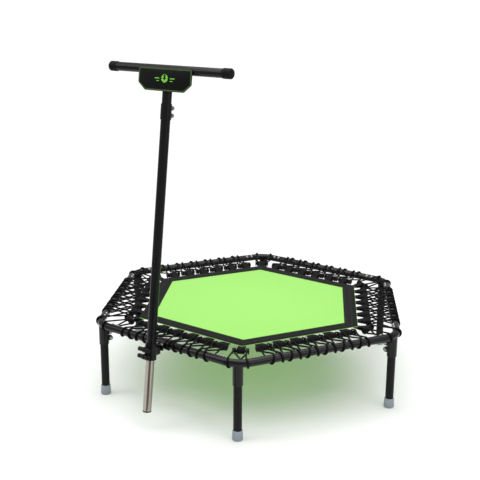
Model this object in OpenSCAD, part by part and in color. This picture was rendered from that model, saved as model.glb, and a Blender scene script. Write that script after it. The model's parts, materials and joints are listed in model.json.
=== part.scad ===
// Six-sided indoor mini trampoline with an elastic-loop suspension and a
// T-shaped hand bar. Millimetres, +Z up. The origin is on the floor under
// the middle of the whole object's box, so the hexagon's own middle lies a
// little towards +Y. Corner 1 is towards +X and the corners are numbered
// anticlockwise; the hand bar stands outside the side that faces -Y.

/* [Frame] */
// Distance from the middle to where two side tubes' centre lines meet
corner_r = 670; // [640:5:700]
// Height of the frame tube's centre line above the floor
tube_z = 299; // [280:1:330]
// Outside diameter of the frame tube
tube_d = 30; // [28:1:32]
// Wall of the frame tube
tube_wall = 1.6; // [1.2:0.1:2]
// Radius of the corner bends, on the centre line
bend_r = 96; // [80:2:110]
// Straight tail of a corner piece beyond its bend
corner_tail = 2.6; // [2:0.2:12]
// Length of the spigot that enters the side tube
spigot_len = 52; // [45:1:60]
// Distance of the first joint screw from the end of the side tube
screw_first = 12; // [10:1:16]
// Spacing of the two screws of a joint
screw_pitch = 24; // [18:1:28]

/* [Legs] */
// Outside diameter of the leg tube
leg_d = 32; // [31:0.5:33]
// Outside diameter of the leg socket
socket_d = 38; // [37:0.5:40]
// Distance from the bend's outermost centre line inwards to the leg's axis
leg_in = 5; // [3:0.5:6]
// Depth of the leg socket below the frame tube
socket_len = 70; // [60:1:80]
// Spacing of the two clamp lugs on a leg socket
lug_pitch = 26; // [22:1:32]
// Outside diameter of the rubber foot
foot_d = 40; // [38:1:44]
// Height of the rubber foot
foot_h = 38; // [30:1:45]

/* [Mat] */
// Distance from the middle to a corner of the jumping mat
mat_r = 501; // [480:1:510]
// Distance from the middle to an inner corner of the mat's border
border_in_r = 440; // [420:1:450]
// Distance from the middle to an outer corner of the mat's border
border_out_r = 498; // [485:1:508]
// Thickness of the woven mat
mat_t = 2; // [1:0.5:3]
// Thickness of the sewn border
border_t = 1.5; // [1:0.1:2]

/* [Suspension] */
// Clips along one side, not counting the corner clips
clips_per_side = 6; // [5:1:6]
// Spacing of the clips along a side
clip_pitch = 72.4; // [70:0.2:76]
// Distance from the mat's edge to the roller's centre
clip_out = 43; // [40:1:46]
// Distance from a clip's middle to the middle of its rope groove
groove_u = 21.75; // [21.7:0.05:21.8]
// Distance along the tube from a clip's middle to a rope turn
turn_u = 18.1; // [17:0.1:19]
// The same for the two turns beside the hand bar clamp
turn_u_handle = 31; // [30:0.5:32]
// Distance from a corner to a rope turn, along the bend
turn_u_corner = 33; // [32:0.5:35]
// Rope diameter
rope_d = 6.5; // [6:0.1:6.5]
// Half of the rope's travel along the tube in one turn
rope_skew = 6.5; // [6:0.1:6.8]

/* [Hand bar] */
// Distance from the frame tube's centre to the pole's axis at tube height
pole_out = 74; // [72:1:80]
// Lean of the pole towards the mat, in degrees
pole_lean = 7.15; // [5:0.05:9]
// Outside diameter of the sliding inner pole
pole_d = 32; // [31.6:0.1:32.2]
// Outside diameter of the black upright
upright_d = 34; // [34:0.1:36]
// Distance along the pole from tube height to the cross bar's axis
bar_z = 1006; // [950:1:1050]
// Overall length of the cross bar
bar_len = 540; // [500:1:600]
// Outside diameter of the cross bar
bar_d = 32; // [31:0.1:33]
// Outside diameter of the rubber end caps
cap_d = 36; // [36:0.5:40]
// Width of the sign plate under the cross bar
sign_w = 238; // [220:1:250]
// Height of the sign plate
sign_h = 80; // [76:1:90]

/* [Hidden] */
eps = 0.01;
snug = 0.05;
side_apothem = corner_r * cos(30);
tube_r = tube_d / 2;
bore_r = tube_r - tube_wall;
spigot_r = bore_r - 0.1;
bend_tan = bend_r * tan(30);
apex_r = corner_r - bend_r * (1 / cos(30) - 1);
bend_mid_r = apex_r - bend_r;
leg_r = apex_r - leg_in;
joint_u = corner_r / 2 - bend_tan - corner_tail;
side_len = 2 * joint_u;
mat_apothem = mat_r * cos(30);
roller_side_r = mat_apothem + clip_out;
roller_corner_r = mat_r + clip_out;
core_r = 6;
drum_r = 8.6;
flange_r = 12;
flange_t = 3.4;
rope_r = rope_d / 2;
rope_sides = 6;
groove_split = 2;
core_half = groove_u + groove_split + rope_r + 0.1;
rope_gap = 1.9;
strap_w = 2 * (groove_u - groove_split - rope_r - rope_gap);
strap_t = 1.4;
strap_lap = 14;
core_turn_r = (core_r + rope_r + 0.1) / cos(17.6);
tube_turn_r = (tube_r + rope_r + snug) / cos(17.7);
tunnel_x = drum_r + rope_r + 0.15;
tunnel_x2 = tunnel_x + rope_d + 0.1;
tunnel_z2 = -1;
socket_top = tube_z - 6;
socket_low = tube_z - tube_r - socket_len;
lug_r = 9.5;
lug_reach = socket_d / 2 + 6;
lug_t = 5;
lug_gap = 2.4;
lug_z0 = socket_low + 22;
leg_low = 8;
leg_top = tube_z - tube_r - 4;
m6_r = 3;
collar_low = -36;
collar_top = 26;
collar_r = 22;
ear_y = -30;
ear_z0 = -22;
ear_pitch = 26;
ear_t = 7;
ear_gap = 3;
hand_head_r = 8;
hand_head_len = 22;
inner_pole_low = -232;
inner_pole_top = 190;
sleeve_low = bar_z - 172;
sleeve_high = bar_z - 117;
sleeve_mid = bar_z - 144.5;
sleeve_r = 19.5;
sleeve_ear_y = 26;
jaw_w = 36;
jaw_flange_y = 26;
jaw_t = 5;
jaw_bolt_x = 11;
jaw_gap = 1;
plug_t = 5;
back_y = side_apothem + tube_turn_r + rope_r;
front_y = side_apothem + pole_out + (plug_t - inner_pole_low) * sin(pole_lean)
    + pole_d / 2 * cos(pole_lean);
middle_y = (front_y - back_y) / 2;

SIDES = [1, 2, 3, 4, 5, 6];
HANDLE_SIDE = 5;

$fn = 64;

// ---- placing -------------------------------------------------------------

// Child drawn about the hexagon's middle
module at_middle() {
    translate([0, middle_y, 0]) children();
}

// Child drawn with +X outwards, at corner k
module at_corner(k, r = 0) {
    at_middle() rotate([0, 0, 60 * (k - 1)]) translate([r, 0, 0]) children();
}

// Child drawn with +X outwards and +Y along the tube, at side k's middle
module at_side(k, r = 0) {
    at_middle() rotate([0, 0, 60 * (k - 1) + 30]) translate([r, 0, 0]) children();
}

// Child drawn about the pole: +Z up the pole, -Y away from the mat
module at_pole() {
    at_middle() translate([0, -(side_apothem + pole_out), tube_z])
        rotate([-pole_lean, 0, 0]) children();
}

module tube(r, inner_r, h) {
    difference() {
        cylinder(r = r, h = h);
        translate([0, 0, -1]) cylinder(r = inner_r, h = h + 2);
    }
}

module hexagon(r) {
    polygon([for (k = SIDES) r * [cos(60 * (k - 1)), sin(60 * (k - 1))]]);
}

// ---- frame ---------------------------------------------------------------

// Straight piece along one arm of corner k, from u0 beyond the bend
module arm(s, u0, h) {
    translate([bend_mid_r, 0, tube_z]) rotate([0, 0, s * 30])
        translate([bend_r, 0, 0]) rotate([-s * 90, 0, 0])
            translate([0, 0, u0]) children();
}

module bend(r) {
    translate([bend_mid_r, 0, tube_z]) rotate([0, 0, -30])
        rotate_extrude(angle = 60, $fn = 96) translate([bend_r, 0]) circle(r = r);
}

module lug(z) {
    translate([-lug_reach, 0, z]) rotate([90, 0, 0])
        translate([0, 0, -lug_gap / 2 - lug_t]) cylinder(r = lug_r, h = 2 * lug_t + lug_gap);
    translate([-lug_reach, -lug_gap / 2 - lug_t, z - lug_r])
        cube([lug_reach, 2 * lug_t + lug_gap, 2 * lug_r]);
}

module corner_piece(k) {
    color([0.07, 0.07, 0.08]) at_corner(k) difference() {
        union() {
            bend(tube_r);
            for (s = [-1, 1]) {
                arm(s, -eps) cylinder(r = tube_r, h = corner_tail + eps);
                arm(s, 0) cylinder(r = spigot_r, h = corner_tail + spigot_len);
            }
            translate([leg_r, 0, socket_low])
                cylinder(d = socket_d, h = socket_top - socket_low);
            translate([leg_r, 0, 0]) for (i = [0, 1]) lug(lug_z0 + i * lug_pitch);
        }
        bend(bore_r - 1.6);
        for (s = [-1, 1]) {
            arm(s, -eps) cylinder(r = bore_r - 1.6, h = spigot_len + 20);
            for (i = [0, 1])
                arm(s, corner_tail + screw_first + i * screw_pitch)
                    screw_axis(s) cylinder(r = m6_r + snug, h = 20);
        }
        translate([leg_r, 0, socket_low - 1])
            cylinder(r = leg_d / 2 + snug, h = leg_top + 1 - socket_low);
        translate([leg_r - lug_reach - lug_r - 1, -lug_gap / 2, socket_low - 1])
            cube([lug_reach + lug_r + 1, lug_gap, socket_len - 8]);
        for (i = [0, 1])
            translate([leg_r - lug_reach, 0, lug_z0 + i * lug_pitch])
                rotate([90, 0, 0]) cylinder(r = m6_r + snug, h = 60, center = true);
    }
}

// Turns +Z to the screw's way out: half inwards, half up
module screw_axis(s) {
    rotate([0, 0, s > 0 ? -135 : 135]) rotate([0, 90, 0]) children();
}

module side_tube(k) {
    color([0.07, 0.07, 0.08]) at_side(k, side_apothem) difference() {
        translate([0, joint_u, tube_z]) rotate([90, 0, 0]) tube(tube_r, bore_r, side_len);
        for (s = [-1, 1], i = [0, 1])
            translate([0, s * (joint_u - screw_first - i * screw_pitch), tube_z])
                rotate([0, -45, 0]) cylinder(r = m6_r + snug, h = 20);
    }
}

module joint_screw() {
    translate([0, 0, 8]) cylinder(r = m6_r, h = tube_r - 8 + eps);
    difference() {
        translate([0, 0, tube_r - 3]) sphere(r = 8, $fn = 48);
        translate([0, 0, tube_r - 20]) cylinder(r = 12, h = 20.2);
    }
}

module joint_screws() {
    color([0.75, 0.75, 0.75]) for (k = SIDES) at_side(k, side_apothem)
        for (s = [-1, 1], i = [0, 1])
            translate([0, s * (joint_u - screw_first - i * screw_pitch), tube_z])
                rotate([0, -45, 0]) joint_screw();
}

module leg(k) {
    color([0.07, 0.07, 0.08]) at_corner(k, leg_r) translate([0, 0, leg_low])
        tube(leg_d / 2, leg_d / 2 - 1.6, leg_top - leg_low);
}

module foot(k) {
    color([0.55, 0.58, 0.6]) at_corner(k, leg_r) difference() {
        cylinder(d = foot_d, h = foot_h);
        translate([0, 0, leg_low]) cylinder(r = leg_d / 2 + snug, h = foot_h);
    }
}

module leg_clamp_bolts() {
    color([0.75, 0.75, 0.75]) for (k = SIDES, i = [0, 1])
        at_corner(k, leg_r - lug_reach) translate([0, 0, lug_z0 + i * lug_pitch])
            rotate([90, 0, 0]) {
                translate([0, 0, -12]) cylinder(r = m6_r, h = 12 + lug_t + lug_gap / 2 + eps);
                translate([0, 0, lug_t + lug_gap / 2]) cylinder(r = 5.5, h = 4);
            }
}

module leg_clamp_nuts() {
    color([0.75, 0.75, 0.75]) for (k = SIDES, i = [0, 1])
        at_corner(k, leg_r - lug_reach) translate([0, 0, lug_z0 + i * lug_pitch])
            rotate([90, 0, 0]) translate([0, 0, -lug_t - lug_gap / 2 - 5]) difference() {
                cylinder(r = 5.7, h = 5, $fn = 6);
                translate([0, 0, -1]) cylinder(r = m6_r + snug, h = 7);
            }
}

// ---- mat -----------------------------------------------------------------

module jump_mat() {
    color([0.7, 0.98, 0.52]) at_middle() translate([0, 0, tube_z - mat_t / 2])
        linear_extrude(mat_t) hexagon(mat_r);
}

module mat_border() {
    color([0.13, 0.13, 0.13]) at_middle() translate([0, 0, tube_z + mat_t / 2])
        linear_extrude(border_t) difference() {
            hexagon(border_out_r);
            hexagon(border_in_r);
        }
}

// One child for each clip, with +X outwards and +Y along the roller
module at_clips() {
    for (k = SIDES) {
        at_corner(k, roller_corner_r) translate([0, 0, tube_z]) children();
        for (i = [0 : clips_per_side - 1])
            at_side(k, roller_side_r)
                translate([0, clip_u(i), tube_z]) children();
    }
}

function clip_u(i) = (i - (clips_per_side - 1) / 2) * clip_pitch;

// Drop shape round the roller that narrows to the span z0..z1 at x = -tip
module strap_outline(r, tip, z0, z1) {
    circle(r = r, $fn = 48);
    polygon([[0, r], [-tip, z1], [-tip, z0], [0, -r]]);
}

// Both plies meet under the mat, where they are sewn to it
module clip_strap() {
    top = -mat_t / 2;
    low = top - 2 * strap_t;
    seam = (top + low) / 2;
    translate([0, strap_w / 2, 0]) rotate([90, 0, 0]) linear_extrude(strap_w)
        difference() {
            union() {
                strap_outline(drum_r + 0.1 + strap_t, clip_out, low, top);
                translate([-clip_out - strap_lap, low]) square([strap_lap + eps, top - low]);
            }
            strap_outline(drum_r + 0.1, clip_out - 2, seam - eps, seam + eps);
        }
}

module clip_straps() {
    color([0.1, 0.1, 0.1]) at_clips() clip_strap();
}

module clip_roller() {
    rotate([90, 0, 0]) difference() {
        union() {
            cylinder(r = core_r, h = 2 * core_half, center = true);
            cylinder(r = drum_r, h = strap_w - 0.8, center = true);
            for (s = [-1, 1])
                translate([0, 0, s * (core_half + flange_t / 2)])
                    cylinder(r = flange_r, h = flange_t, center = true);
        }
        cylinder(r = 3.5, h = 100, center = true);
    }
}

module clip_rollers() {
    color([0.08, 0.08, 0.08]) at_clips() clip_roller();
}

// ---- elastic loops -------------------------------------------------------

function unit(v) = v / norm(v);

// Travel direction of the route at point i
function heading(p, i) =
    i == 0 ? unit(p[1] - p[0]) :
    i == len(p) - 1 ? unit(p[i] - p[i - 1]) :
    unit(unit(p[i + 1] - p[i]) + unit(p[i] - p[i - 1]));

// Previous side vector turned with the least twist to suit heading t
function carried(n, t) = unit(n - (n * t) * t);

function side_vectors(p) = [
    for (i = 0, n = carried([0.13, 0.2, 1], heading(p, 0)); i < len(p);
         i = i + 1, n = i < len(p) ? carried(n, heading(p, i)) : n) n];

// A closed skin swept along the points p with a round section
module rope(p) {
    n = side_vectors(p);
    m = rope_sides;
    rings = [for (i = [0 : len(p) - 1], j = [0 : m - 1])
        let (t = heading(p, i), b = cross(t, n[i]), a = 360 * j / m)
            p[i] + rope_r * (cos(a) * n[i] + sin(a) * b)];
    walls = [for (i = [0 : len(p) - 2], j = [0 : m - 1])
        let (a = i * m + j, b = i * m + (j + 1) % m) [a, a + m, b + m, b]];
    caps = [[for (j = [0 : m - 1]) j],
            [for (j = [m - 1 : -1 : 0]) (len(p) - 1) * m + j]];
    polyhedron(points = rings, faces = concat(walls, caps), convexity = 10);
}

// Points of a turn in the plane across the roller or tube. x is outwards from
// the roller's axis, u along the tube, z up, a the angle from outwards
function turn(x, r, u0, u1, a0, a1, steps) = [
    for (i = [0 : steps]) let (f = i / steps, a = a0 + f * (a1 - a0))
        [x + r * cos(a), u0 + f * (u1 - u0), r * sin(a)]];

reach = side_apothem - roller_side_r;
cross_a = 90 - asin((core_turn_r + tube_turn_r) / reach);

// Half of a side loop: out over the tube at turn_at, back underneath, on side s
function side_half(s, turn_at) = let (
        over_u = s * (groove_u - groove_split),
        under_u = s * (groove_u + groove_split),
        skew = s * rope_skew,
        over = [[-tunnel_x, over_u, 0]],
        first = turn(0, core_turn_r, over_u, over_u, 215, 360 - cross_a, 2),
        wrap = turn(reach, tube_turn_r, turn_at - skew, turn_at + skew,
                    180 - cross_a, cross_a - 180, 6),
        last = turn(0, core_turn_r, under_u, under_u, cross_a, 106, 1),
        home = [[-tunnel_x - 2.4, under_u, rope_d],
                [-tunnel_x2, under_u, tunnel_z2]])
    concat(over, first, wrap, last, home);

// One whole loop of a side clip; its two ends butt behind the roller
function side_loop(turn_hi, turn_lo) = let (
        right = side_half(1, turn_hi),
        left = side_half(-1, turn_lo),
        back = [for (i = [len(left) - 1 : -1 : 0]) left[i]])
    concat([[-tunnel_x, 0.1, 0]], right, back, [[-tunnel_x, -0.1, 0]]);

// Turns beside the hand bar clamp sit further from its middle
function turn_hi(k, i) = k == HANDLE_SIDE && i == clips_per_side / 2 - 1
    ? -turn_u_handle - clip_u(i) : turn_u;
function turn_lo(k, i) = k == HANDLE_SIDE && i == clips_per_side / 2
    ? turn_u_handle - clip_u(i) : -turn_u;

module side_loops(k) {
    color([0.06, 0.06, 0.06]) at_side(k, roller_side_r)
        for (i = [0 : clips_per_side - 1])
            translate([0, clip_u(i), tube_z])
                rope(side_loop(turn_hi(k, i), turn_lo(k, i)));
}

// Turn of a corner loop round the bent tube, on side s; from the roller's axis
function corner_turn(s) = let (
        b = s * turn_u_corner / bend_r * 180 / PI,
        out = [cos(b), sin(b), 0],
        mid = [bend_mid_r - roller_corner_r, 0, 0] + bend_r * out,
        along = [-sin(b), cos(b), 0])
    [for (i = [0 : 6]) let (a = 100 - i * 200 / 6)
        mid + tube_turn_r * (cos(a) * out + sin(a) * [0, 0, 1])
            + (i - 3) * along];

// Turn of a corner loop round the roller, from under it to over it
function corner_core(g) = turn(0, core_turn_r, g, g, 270, 90, 5);

function corner_loop() = let (
        right = corner_core(groove_u),
        left = corner_core(-groove_u),
        dip = [[39, 0, -20.5]])
    concat([for (i = [3 : 5]) right[i]], corner_turn(1), left,
           corner_turn(-1), dip, [for (i = [0 : 2]) right[i]],
           [(right[2] + right[3]) / 2 + [0, 0, -0.1]]);

module corner_loops() {
    color([0.06, 0.06, 0.06]) for (k = SIDES)
        at_corner(k, roller_corner_r) translate([0, 0, tube_z]) rope(corner_loop());
}

// ---- hand bar clamp ------------------------------------------------------

// Child drawn about the frame tube at the hand bar: +Y towards the mat
module at_bar_side() {
    at_middle() translate([0, -side_apothem, tube_z]) children();
}

// Half shell round the frame tube with a flat flange on both sides; s = 1 upper
module jaw_body(s) {
    difference() {
        union() {
            rotate([0, 90, 0]) cylinder(r = tube_r + jaw_t, h = jaw_w, center = true);
            translate([-jaw_w / 2, -jaw_flange_y - 8, s > 0 ? jaw_gap / 2 : -jaw_gap / 2 - jaw_t])
                cube([jaw_w, 2 * jaw_flange_y + 16, jaw_t]);
        }
        rotate([0, 90, 0]) cylinder(r = tube_r + snug, h = jaw_w + 2, center = true);
        translate([-jaw_w, -60, s > 0 ? jaw_gap / 2 - 60 : -jaw_gap / 2])
            cube([2 * jaw_w, 120, 60]);
        for (x = [-1, 1], y = [-1, 1])
            translate([x * jaw_bolt_x, y * jaw_flange_y, -30])
                cylinder(r = m6_r + snug, h = 60);
    }
}

module bar_clamp_upper_jaw() {
    color([0.05, 0.05, 0.06]) at_bar_side() jaw_body(1);
}

// Clearance hole for the pole through everything that it passes
module pole_hole() {
    at_pole() translate([0, 0, -80]) cylinder(r = pole_d / 2 + snug, h = 160);
}

module bar_clamp_lower_jaw() {
    color([0.05, 0.05, 0.06]) difference() {
        union() {
            at_bar_side() jaw_body(-1);
            at_bar_side() bar_arm();
            at_pole() translate([0, 0, collar_low])
                cylinder(r = collar_r, h = collar_top - collar_low);
            at_pole() for (i = [0, 1]) collar_ear(ear_z0 + i * ear_pitch);
        }
        pole_hole();
        at_pole() translate([-ear_gap / 2, -60, collar_low - 1])
            cube([ear_gap, 60, collar_top - collar_low + 2]);
        at_pole() for (i = [0, 1])
            translate([0, ear_y, ear_z0 + i * ear_pitch]) rotate([0, 90, 0])
                cylinder(r = 4 + snug, h = 60, center = true);
    }
}

// Arm from the lower jaw to the collar, with a rib between the jaw's nuts
module bar_arm() {
    flange_end = jaw_flange_y + 7;
    translate([-10, -pole_out, -jaw_t - 22])
        cube([20, pole_out - flange_end, jaw_t + 22 - jaw_gap / 2]);
    translate([-4.2, -pole_out, -jaw_t - 14])
        cube([8.4, pole_out - tube_r - 2, 14]);
}

module collar_ear(z) {
    translate([0, ear_y, z]) rotate([0, 90, 0])
        cylinder(r = 10, h = 2 * ear_t + ear_gap, center = true);
    translate([-ear_t - ear_gap / 2, ear_y, z - 10])
        cube([2 * ear_t + ear_gap, -ear_y - pole_d / 2 - 1, 20]);
}

module bar_clamp_bolts() {
    color([0.72, 0.72, 0.72]) at_bar_side() for (x = [-1, 1], y = [-1, 1])
        translate([x * jaw_bolt_x, y * jaw_flange_y, 0]) {
            translate([0, 0, -jaw_gap / 2 - jaw_t - 9])
                cylinder(r = m6_r, h = 11 + 2 * jaw_t + jaw_gap);
            translate([0, 0, jaw_gap / 2 + jaw_t]) cylinder(r = 5.7, h = 4.5, $fn = 6);
        }
}

module bar_clamp_nuts() {
    color([0.1, 0.1, 0.1]) at_bar_side() for (x = [-1, 1], y = [-1, 1])
        translate([x * jaw_bolt_x, y * jaw_flange_y, -jaw_gap / 2 - jaw_t - 10]) difference() {
            cylinder(r = 6.2, h = 10);
            translate([0, 0, 1]) cylinder(r = m6_r + snug, h = 12);
        }
}

// Hand screw through the collar's ears, with a thick round head
module collar_screw(z) {
    color([0.06, 0.06, 0.06]) at_pole() translate([0, ear_y, z]) rotate([0, 90, 0]) {
        translate([0, 0, -ear_t - ear_gap / 2 - hand_head_len - 0.3])
            cylinder(r = hand_head_r, h = hand_head_len);
        translate([0, 0, -ear_t - ear_gap / 2 - 1]) cylinder(r = 4, h = 2 * ear_t + ear_gap + 12);
    }
}

module collar_nuts() {
    color([0.1, 0.1, 0.1]) at_pole() for (i = [0, 1])
        translate([ear_t + ear_gap / 2, ear_y, ear_z0 + i * ear_pitch]) rotate([0, 90, 0])
            difference() {
                cylinder(r = 8.5, h = 7);
                translate([0, 0, -1]) cylinder(r = 4 + snug, h = 9);
            }
}

// ---- hand bar ------------------------------------------------------------

module inner_pole() {
    color([0.75, 0.73, 0.7]) at_pole() translate([0, 0, inner_pole_low])
        tube(pole_d / 2, pole_d / 2 - 1.5, inner_pole_top - inner_pole_low);
}

module pole_end_plug() {
    color([0.08, 0.08, 0.08]) at_pole() {
        translate([0, 0, inner_pole_low - plug_t]) cylinder(r = pole_d / 2, h = plug_t);
        translate([0, 0, inner_pole_low - 1]) cylinder(r = pole_d / 2 - 1.55, h = 14);
    }
}

module upright() {
    color([0.05, 0.05, 0.06]) at_pole() translate([0, 0, collar_top + 0.5])
        tube(upright_d / 2, pole_d / 2 + snug, sleeve_mid - collar_top - 1);
}

module coupling_sleeve() {
    color([0.05, 0.05, 0.06]) at_pole() difference() {
        union() {
            translate([0, 0, sleeve_low]) cylinder(r = sleeve_r, h = sleeve_high - sleeve_low);
            for (z = [-13, 13]) {
                translate([0, sleeve_ear_y, sleeve_mid + z]) rotate([0, 90, 0])
                    cylinder(r = 8, h = 12, center = true);
                translate([-6, 0, sleeve_mid + z - 8]) cube([12, sleeve_ear_y, 16]);
            }
        }
        translate([0, 0, sleeve_low - 1])
            cylinder(r = upright_d / 2 + snug, h = sleeve_high - sleeve_low + 2);
        translate([-1, 0, sleeve_low - 1]) cube([2, 60, sleeve_high - sleeve_low + 2]);
        for (z = [-13, 13]) translate([0, sleeve_ear_y, sleeve_mid + z]) rotate([0, 90, 0])
            cylinder(r = m6_r + snug, h = 40, center = true);
    }
}

module coupling_bolts() {
    color([0.72, 0.72, 0.72]) at_pole() for (z = [-13, 13])
        translate([0, sleeve_ear_y, sleeve_mid + z]) rotate([0, 90, 0]) {
            translate([0, 0, -9]) cylinder(r = m6_r, h = 15 + eps);
            translate([0, 0, 6]) cylinder(r = 6.5, h = 4.5);
            translate([0, 0, -11]) cylinder(r = 6.5, h = 5, $fn = 6);
        }
}

module cross_bar() {
    color([0.06, 0.06, 0.06]) at_pole() difference() {
        union() {
            translate([0, 0, sleeve_mid + 0.5])
                cylinder(r = upright_d / 2, h = bar_z - sleeve_mid - 0.5);
            translate([0, 0, bar_z]) rotate([0, 90, 0])
                cylinder(r = bar_d / 2, h = bar_len - 6, center = true);
        }
        translate([0, 0, sleeve_mid]) cylinder(r = upright_d / 2 - 1.6, h = bar_z - sleeve_mid);
        translate([0, 0, bar_z]) rotate([0, 90, 0])
            cylinder(r = bar_d / 2 - 1.6, h = bar_len, center = true);
        for (z = [22, 56]) translate([0, 0, bar_z - z]) rotate([90, 0, 0])
            cylinder(r = 2 + snug, h = 20);
    }
}

module end_cap(s) {
    color([0.06, 0.06, 0.06]) at_pole() translate([s * bar_len / 2, 0, bar_z])
        rotate([0, -s * 90, 0]) difference() {
            cylinder(d = cap_d, h = 35);
            translate([0, 0, 3]) cylinder(r = bar_d / 2 + snug, h = 40);
        }
}

module sign_plate() {
    above = 5;
    straight = 54;
    cut = 32;
    w = sign_w / 2;
    color([0.04, 0.05, 0.04]) at_pole() translate([0, -upright_d / 2 - 0.05, bar_z])
        rotate([90, 0, 0]) linear_extrude(2.5) difference() {
            polygon([[-w, above], [w, above], [w, above - straight], [w - cut, above - sign_h],
                     [-w + cut, above - sign_h], [-w, above - straight]]);
            for (z = [22, 56]) translate([0, -z]) circle(r = 2 + snug, $fn = 32);
        }
}

module sign_screws() {
    color([0.1, 0.1, 0.1]) at_pole() for (z = [22, 56])
        translate([0, -upright_d / 2 + 4, bar_z - z]) rotate([90, 0, 0]) {
            cylinder(r = 2, h = 6.55 + eps);
            translate([0, 0, 6.55]) cylinder(r = 4, h = 1.6);
        }
}

// ---- drawing -------------------------------------------------------------

for (k = SIDES) {
    corner_piece(k);
    side_tube(k);
    leg(k);
    foot(k);
    side_loops(k);
}
joint_screws();
leg_clamp_bolts();
leg_clamp_nuts();
jump_mat();
mat_border();
clip_straps();
clip_rollers();
corner_loops();
bar_clamp_upper_jaw();
bar_clamp_lower_jaw();
bar_clamp_bolts();
bar_clamp_nuts();
collar_screw(ear_z0 + ear_pitch);  // collar_screw_upper
collar_screw(ear_z0);  // collar_screw_lower
collar_nuts();
inner_pole();
pole_end_plug();
upright();
coupling_sleeve();
coupling_bolts();
cross_bar();
end_cap(-1);  // end_cap_left
end_cap(1);  // end_cap_right
sign_plate();
sign_screws();
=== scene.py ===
"""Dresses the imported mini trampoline: materials for its steel parts, and modelled mat, straps,
rollers, elastic loops, feet, caps, screws and sign plate, with a plain stage round it."""
import json
import math

import bmesh
import bpy
from bpy.props import FloatProperty, FloatVectorProperty, IntProperty, PointerProperty
from mathutils import Matrix, Vector


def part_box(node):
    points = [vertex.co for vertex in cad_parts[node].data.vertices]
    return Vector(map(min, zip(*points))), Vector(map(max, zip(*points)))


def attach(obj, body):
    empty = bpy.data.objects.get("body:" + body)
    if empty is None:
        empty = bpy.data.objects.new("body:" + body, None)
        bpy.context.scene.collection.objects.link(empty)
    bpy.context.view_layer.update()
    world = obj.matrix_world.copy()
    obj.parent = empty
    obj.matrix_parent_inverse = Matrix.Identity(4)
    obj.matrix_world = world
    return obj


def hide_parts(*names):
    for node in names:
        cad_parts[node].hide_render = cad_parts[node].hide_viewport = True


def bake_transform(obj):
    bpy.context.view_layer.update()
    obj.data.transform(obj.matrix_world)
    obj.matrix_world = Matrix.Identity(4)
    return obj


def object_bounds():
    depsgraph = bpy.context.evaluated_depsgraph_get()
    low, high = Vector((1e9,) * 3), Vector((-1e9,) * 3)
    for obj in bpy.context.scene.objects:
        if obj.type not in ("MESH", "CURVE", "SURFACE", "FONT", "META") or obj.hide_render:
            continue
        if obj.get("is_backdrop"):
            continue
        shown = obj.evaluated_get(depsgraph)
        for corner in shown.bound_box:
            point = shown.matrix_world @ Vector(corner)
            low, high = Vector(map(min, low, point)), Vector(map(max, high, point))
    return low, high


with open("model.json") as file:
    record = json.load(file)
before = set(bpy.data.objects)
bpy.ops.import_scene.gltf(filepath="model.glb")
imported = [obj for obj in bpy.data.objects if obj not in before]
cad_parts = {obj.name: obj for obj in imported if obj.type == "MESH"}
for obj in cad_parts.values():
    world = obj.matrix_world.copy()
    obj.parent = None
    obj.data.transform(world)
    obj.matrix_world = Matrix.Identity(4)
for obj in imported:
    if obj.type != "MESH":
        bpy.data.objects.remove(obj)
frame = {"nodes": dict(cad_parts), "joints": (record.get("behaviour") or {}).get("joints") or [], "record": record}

bl_info = {
    "name": "Mini Trampoline",
    "version": (1, 0, 0),
    "blender": (4, 5, 0),
    "location": "View3D > Sidebar > Trampoline",
    "description": "Builds the mat, ropes, fittings and finishes of a six-sided mini trampoline",
    "category": "Object",
}

CAD_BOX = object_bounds()
MM = 0.001
SIDES = range(1, 7)
HANDLE_SIDE = 5


# ---- places and sizes: some worked out from the frame, the rest given ------

def node_box(node):
    low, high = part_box(node)
    return Vector(low), Vector(high)


def node_middle(node):
    low, high = node_box(node)
    return (low + high) / 2


def node_size(node):
    low, high = node_box(node)
    return high - low


MIDDLE = Vector((0, node_middle("jump_mat").y, 0))
TUBE_Z = node_middle("jump_mat").z
MAT_R = node_size("jump_mat").x / 2
MAT_T = node_size("jump_mat").z
BORDER_T = node_size("mat_border").z
TUBE_R = node_size("side_tube_2").z / 2
SIDE_APOTHEM = node_middle("side_tube_2").y - MIDDLE.y
SIDE_LENGTH = node_size("side_tube_2").x
SNUG = 0.1 * MM
BORDER_INNER_R = 440 * MM
BORDER_EDGE = 1.2 * MM
STRAP_W = 29.2 * MM
STRAP_T = 1.4 * MM
STRAP_LAP = 14 * MM
CLIP_OUT = 43 * MM
CLIP_PITCH = 72.4 * MM
CLIPS = 6
CORE_R = 6 * MM
CORE_HALF = 27.1 * MM
DRUM_R = 8.6 * MM
FLANGE_R = 12 * MM
FLANGE_T = 3.4 * MM
ROLLER_BORE_R = 3.5 * MM
ROLLER_SIDE_R = MAT_R * math.cos(math.radians(30)) + CLIP_OUT
ROLLER_CORNER_R = MAT_R + CLIP_OUT
LEG_R = node_size("leg_1").x / 2
LEG_AXIS_R = node_middle("leg_1").x
APEX_R = node_box("frame_corner_1")[1].x - TUBE_R
BEND_R = 96 * MM
BEND_MID_R = APEX_R - BEND_R

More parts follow.
